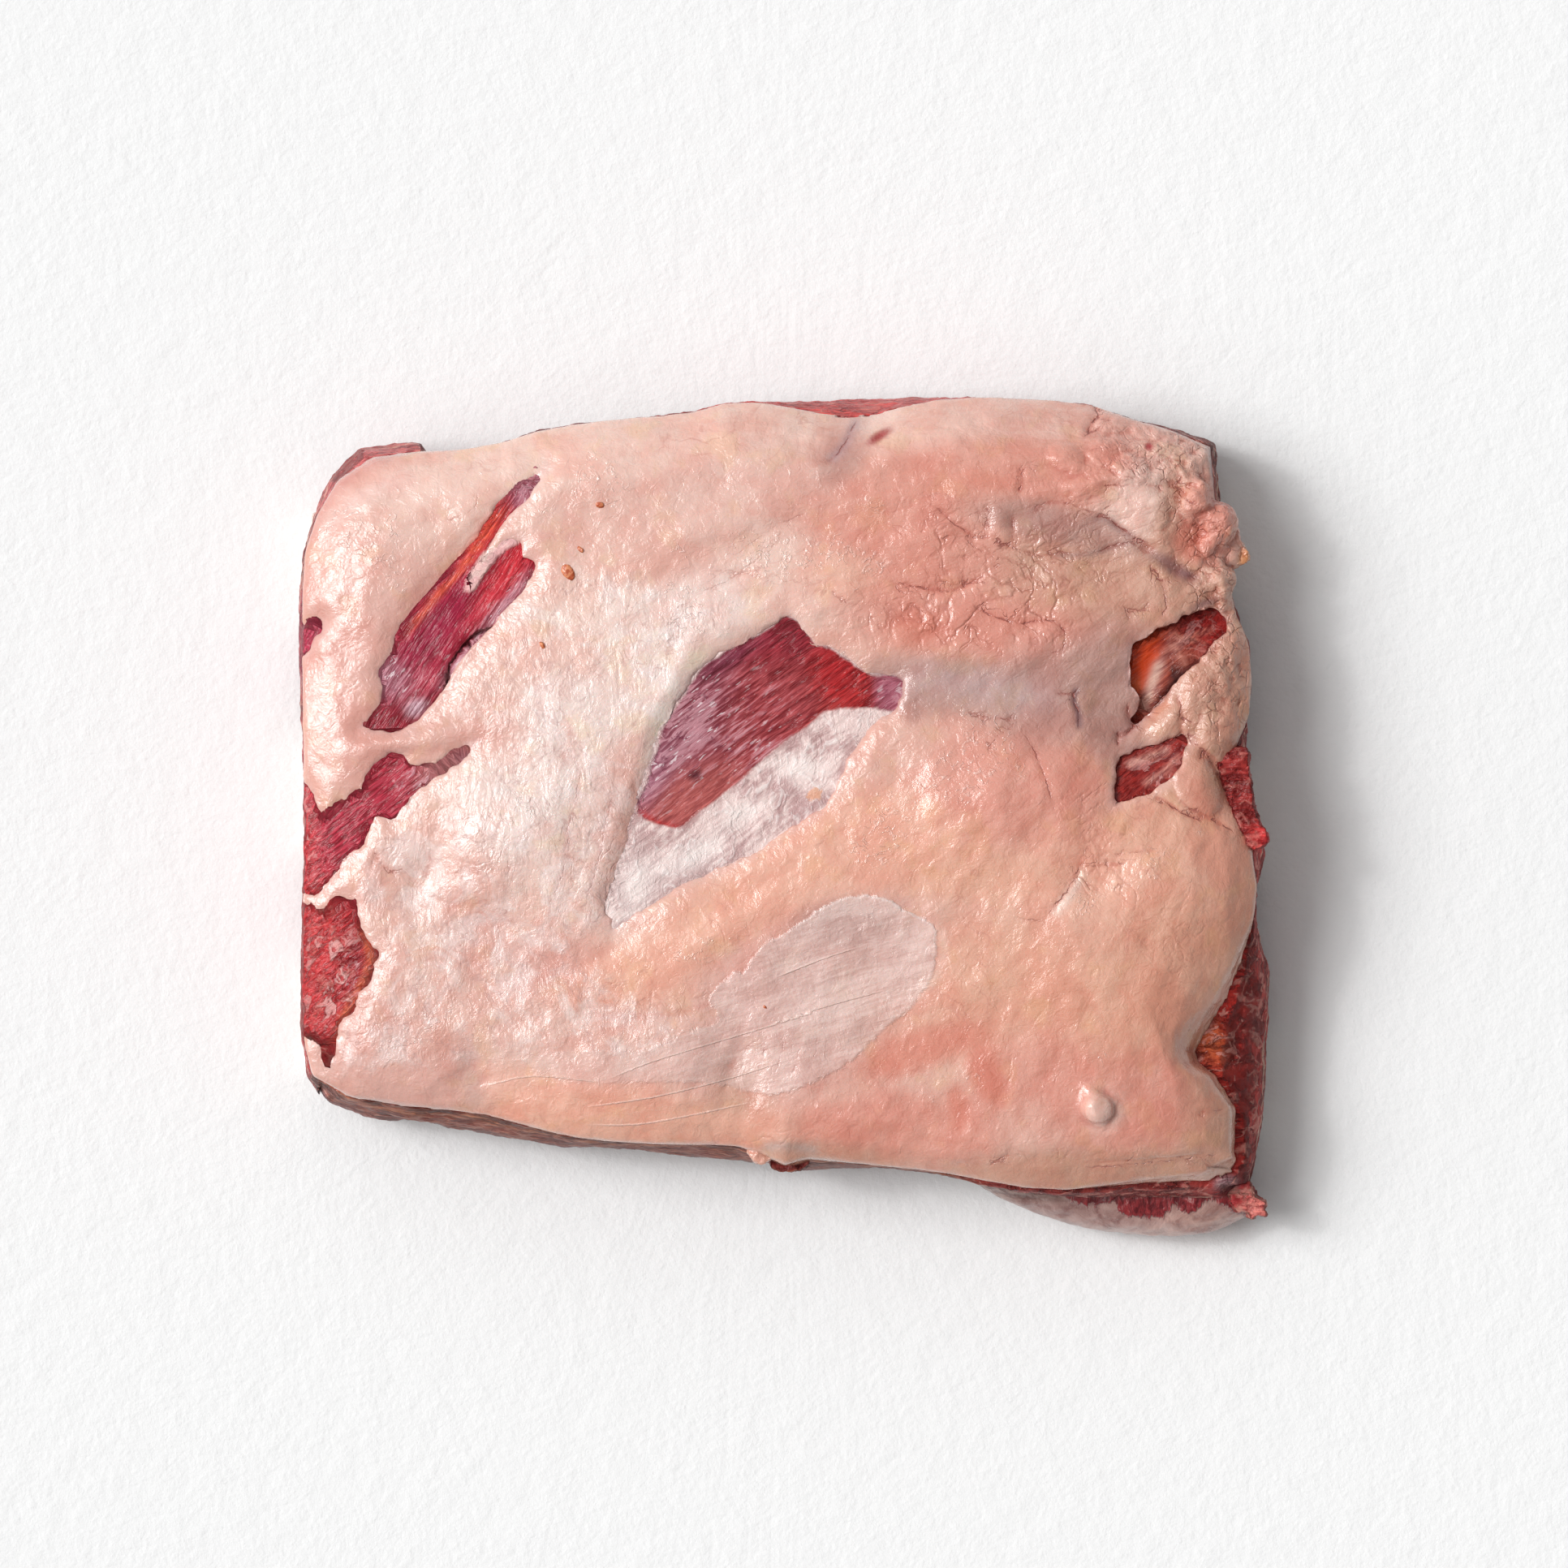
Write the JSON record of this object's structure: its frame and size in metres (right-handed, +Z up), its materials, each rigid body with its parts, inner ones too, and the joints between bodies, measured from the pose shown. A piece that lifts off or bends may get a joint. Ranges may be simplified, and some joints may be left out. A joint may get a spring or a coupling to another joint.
{
  "type": "beef short ribs",
  "caption": "Raw slab of beef short ribs lying bone side down, with a trimmed fat cap, marbled red meat and flat rib bones sawn at both ends.",
  "frame": {"origin": "on the ground below the middle of the slab as it lies bone side down", "axes": "+X along the rib bones, +Y across them, +Z up through the fat cap"},
  "size_m": [0.2802, 0.2434, 0.0558],
  "materials": {
    "fat": "moist satin fat, cream to pink, with fine membrane",
    "meat": "moist raw muscle, dark red with white marbling",
    "bone": "raw bone, pale rim and red spongy middle at the sawn ends",
    "flank": "dusky pink fat under a thin moist membrane"
  },
  "bodies": {
    "root": {"fat_cap": "fat", "meat": "meat", "rib_back": "bone", "rib_middle": "bone", "rib_front": "bone", "flank_fat": "flank"}
  },
  "joints": []
}
